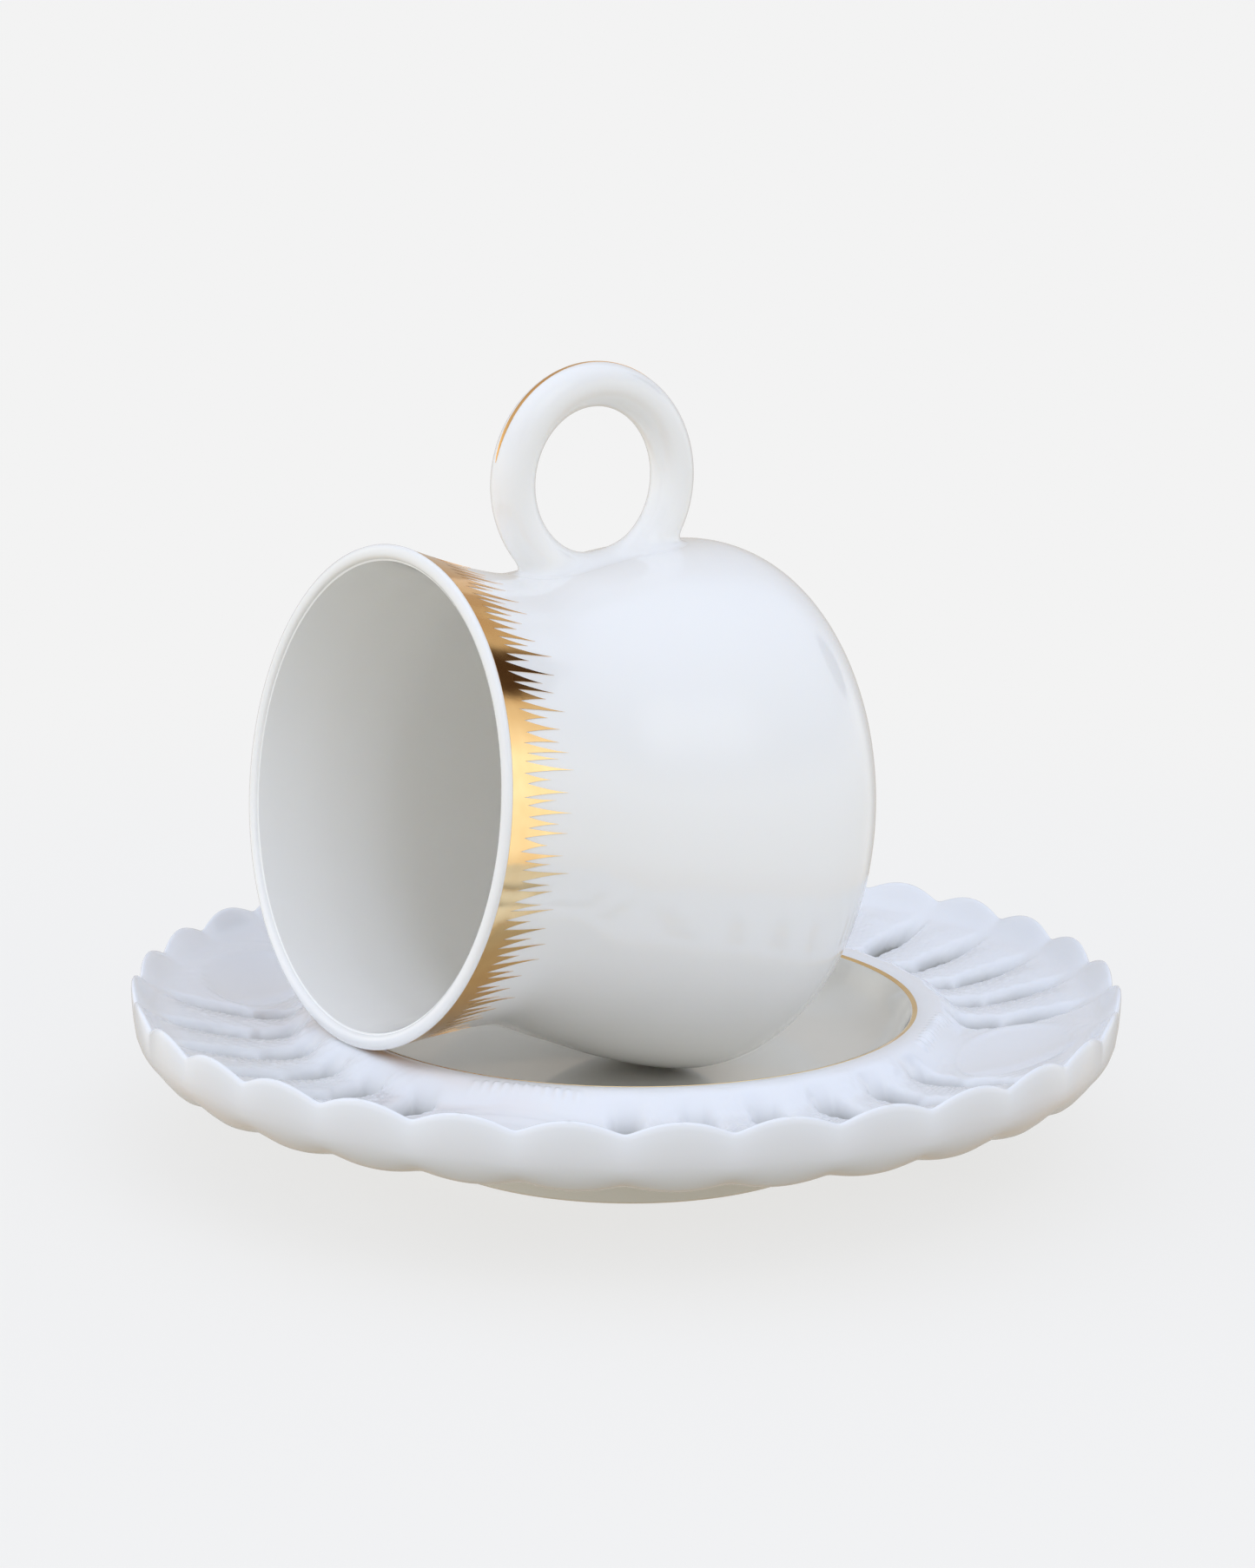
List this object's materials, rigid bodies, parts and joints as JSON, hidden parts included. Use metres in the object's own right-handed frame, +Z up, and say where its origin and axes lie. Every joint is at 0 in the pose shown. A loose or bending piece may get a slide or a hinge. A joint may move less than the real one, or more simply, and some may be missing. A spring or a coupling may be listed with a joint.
{
  "type": "teacup with saucer",
  "caption": "White porcelain teacup with a ring handle and spiked gilt lip, lying on its side in the well of its pierced, scalloped saucer.",
  "frame": {"origin": "centre of the saucer's foot ring on the surface it stands on, which is the bottom centre of the box", "axes": "+Z up, the shortest extent; the cup's mouth faces -X and -Y, 34.5 degrees round from -X; the ring handle points up"},
  "size_m": [0.1504, 0.1504, 0.1191],
  "materials": {
    "cup_porcelain": "smooth glossy clear glaze over white porcelain, faintly wavy reflections",
    "saucer_porcelain": "glossy clear glaze, slightly pooled in the relief of the openwork",
    "burnished_gold": "bright burnished gilding, mirror-like with faint brush streaks"
  },
  "bodies": {
    "saucer": {"saucer_well": "saucer_porcelain", "saucer_foot_ring": "saucer_porcelain", "seat_ring": "saucer_porcelain", "strap_01": "saucer_porcelain", "strap_02": "saucer_porcelain", "strap_03": "saucer_porcelain", "strap_04": "saucer_porcelain", "strap_05": "saucer_porcelain", "strap_06": "saucer_porcelain", "strap_07": "saucer_porcelain", "strap_08": "saucer_porcelain", "strap_09": "saucer_porcelain", "strap_10": "saucer_porcelain", "strap_11": "saucer_porcelain", "strap_12": "saucer_porcelain", "strap_13": "saucer_porcelain", "strap_14": "saucer_porcelain", "strap_15": "saucer_porcelain", "strap_16": "saucer_porcelain", "strap_17": "saucer_porcelain", "strap_18": "saucer_porcelain", "strap_19": "saucer_porcelain", "strap_20": "saucer_porcelain", "cartouche_panel_1": "saucer_porcelain", "cartouche_panel_2": "saucer_porcelain", "cartouche_panel_3": "saucer_porcelain", "cartouche_panel_4": "saucer_porcelain", "scalloped_rim": "saucer_porcelain", "saucer_gold_line": "burnished_gold"},
    "cup": {"cup_bowl": "cup_porcelain", "cup_foot_ring": "cup_porcelain", "ring_handle": "cup_porcelain", "cup_gold_rim": "burnished_gold", "handle_gold_line": "burnished_gold"}
  },
  "joints": [
    {"name": "cup_lift", "type": "slide", "parent": "saucer", "child": "cup", "axis": [0, 0, 1], "range_m": [0, 0.12]}
  ]
}
